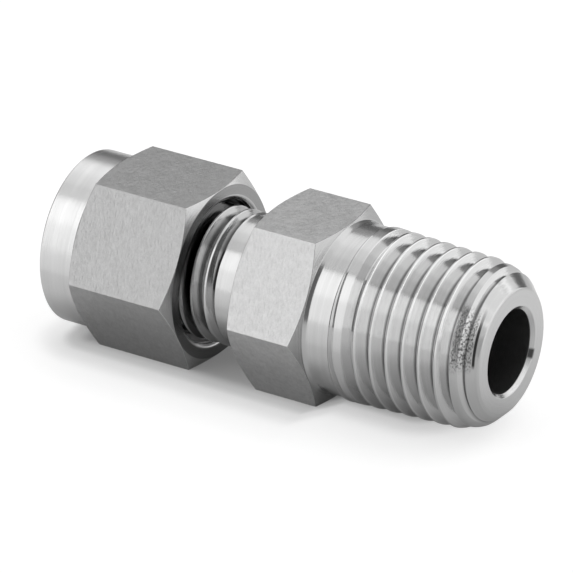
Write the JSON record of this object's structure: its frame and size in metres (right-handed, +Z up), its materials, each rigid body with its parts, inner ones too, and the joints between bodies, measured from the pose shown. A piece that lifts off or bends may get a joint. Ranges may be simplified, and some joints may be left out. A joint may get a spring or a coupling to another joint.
{
  "type": "male tube connector",
  "caption": "Stainless steel compression fitting: hex nut with ferrules on a hex body with a taper pipe thread.",
  "frame": {"origin": "on the surface that the hexes lie on, under the middle of the overall length", "axes": "+X along the fitting's axis towards the pipe end, +Z up, with one flat of each hex down"},
  "size_m": [0.0394, 0.0164, 0.0143],
  "materials": {
    "body_steel": "satin milled hex, bright turned threads",
    "nut_steel": "satin milled hex, bright turned collar",
    "ferrule_steel": "bright turned"
  },
  "bodies": {
    "fitting": {"fitting_body": "body_steel"},
    "ferrules": {"front_ferrule": "ferrule_steel", "back_ferrule": "ferrule_steel"},
    "nut": {"nut": "nut_steel"}
  },
  "joints": [
    {"name": "nut_travel", "type": "slide", "parent": "fitting", "child": "ferrules", "axis": [-1, 0, 0], "range_m": [-0.00106, 0.00509]},
    {"name": "nut_turn", "type": "hinge", "parent": "ferrules", "child": "nut", "pos_m": [-0.01, 0, 0.00714], "axis": [-1, 0, 0], "range_deg": [-295, 1440]}
  ],
  "couplings": [
    {"joint": "nut_travel", "follows": "nut_turn", "m_per_rad": 0.00020213}
  ]
}
